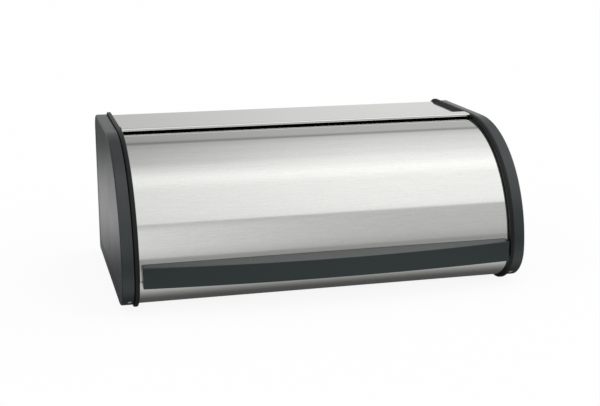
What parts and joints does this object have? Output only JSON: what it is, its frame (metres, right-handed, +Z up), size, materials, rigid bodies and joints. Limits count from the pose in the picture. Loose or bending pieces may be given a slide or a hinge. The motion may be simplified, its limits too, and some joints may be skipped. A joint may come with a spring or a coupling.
{
  "type": "bread box",
  "caption": "Bread box with a curved steel roll-top door that turns up and back under a flat top, between moulded side ends; bowed plastic handle across the front.",
  "frame": {"origin": "on the surface the box stands on, under the middle of its overall box", "axes": "+X along the box to the right as seen from the front, -Y towards the front and the handle, +Z up"},
  "size_m": [0.445, 0.2844, 0.1742],
  "materials": {
    "stainless": "satin, brushed along the length",
    "stainless_door": "satin, brushed along the length",
    "plate_plastic": "matt moulding, near black",
    "cap_plastic": "fine satin moulding, dark grey",
    "cover_plastic": "fine grained moulding, dark grey",
    "arm_plastic": "satin moulding, dark grey",
    "handle_plastic": "smooth satin moulding, dark grey",
    "nylon": "natural nylon",
    "rubber": "matt black",
    "pin_steel": "turned",
    "spring_steel": "blued",
    "screw_steel": "bright plated",
    "rivet_aluminium": "as set"
  },
  "bodies": {
    "cabinet": {"body_shell": "stainless", "left_inner_plate": "plate_plastic", "left_end_cap": "cap_plastic", "left_side_cover": "cover_plastic", "left_pivot_cap": "cover_plastic", "left_pivot_pin": "pin_steel", "left_pivot_clip": "spring_steel", "left_closing_buffer": "rubber", "left_opening_buffer": "rubber", "left_rim_screws": "screw_steel", "left_body_screws": "screw_steel", "left_front_foot": "rubber", "left_rear_foot": "rubber", "right_inner_plate": "plate_plastic", "right_end_cap": "cap_plastic", "right_side_cover": "cover_plastic", "right_pivot_cap": "cover_plastic", "right_pivot_pin": "pin_steel", "right_pivot_clip": "spring_steel", "right_closing_buffer": "rubber", "right_opening_buffer": "rubber", "right_rim_screws": "screw_steel", "right_body_screws": "screw_steel", "right_front_foot": "rubber", "right_rear_foot": "rubber"},
    "door": {"door_panel": "stainless_door", "handle": "handle_plastic", "handle_screws": "screw_steel", "left_door_arm": "arm_plastic", "left_arm_rivets": "rivet_aluminium", "left_pivot_bush": "nylon", "right_door_arm": "arm_plastic", "right_arm_rivets": "rivet_aluminium", "right_pivot_bush": "nylon"}
  },
  "joints": [
    {"name": "door_roll", "type": "hinge", "parent": "cabinet", "child": "door", "pos_m": [0, 0.00743, 0.0425], "axis": [-1, 0, 0], "range_deg": [0, 80]}
  ]
}
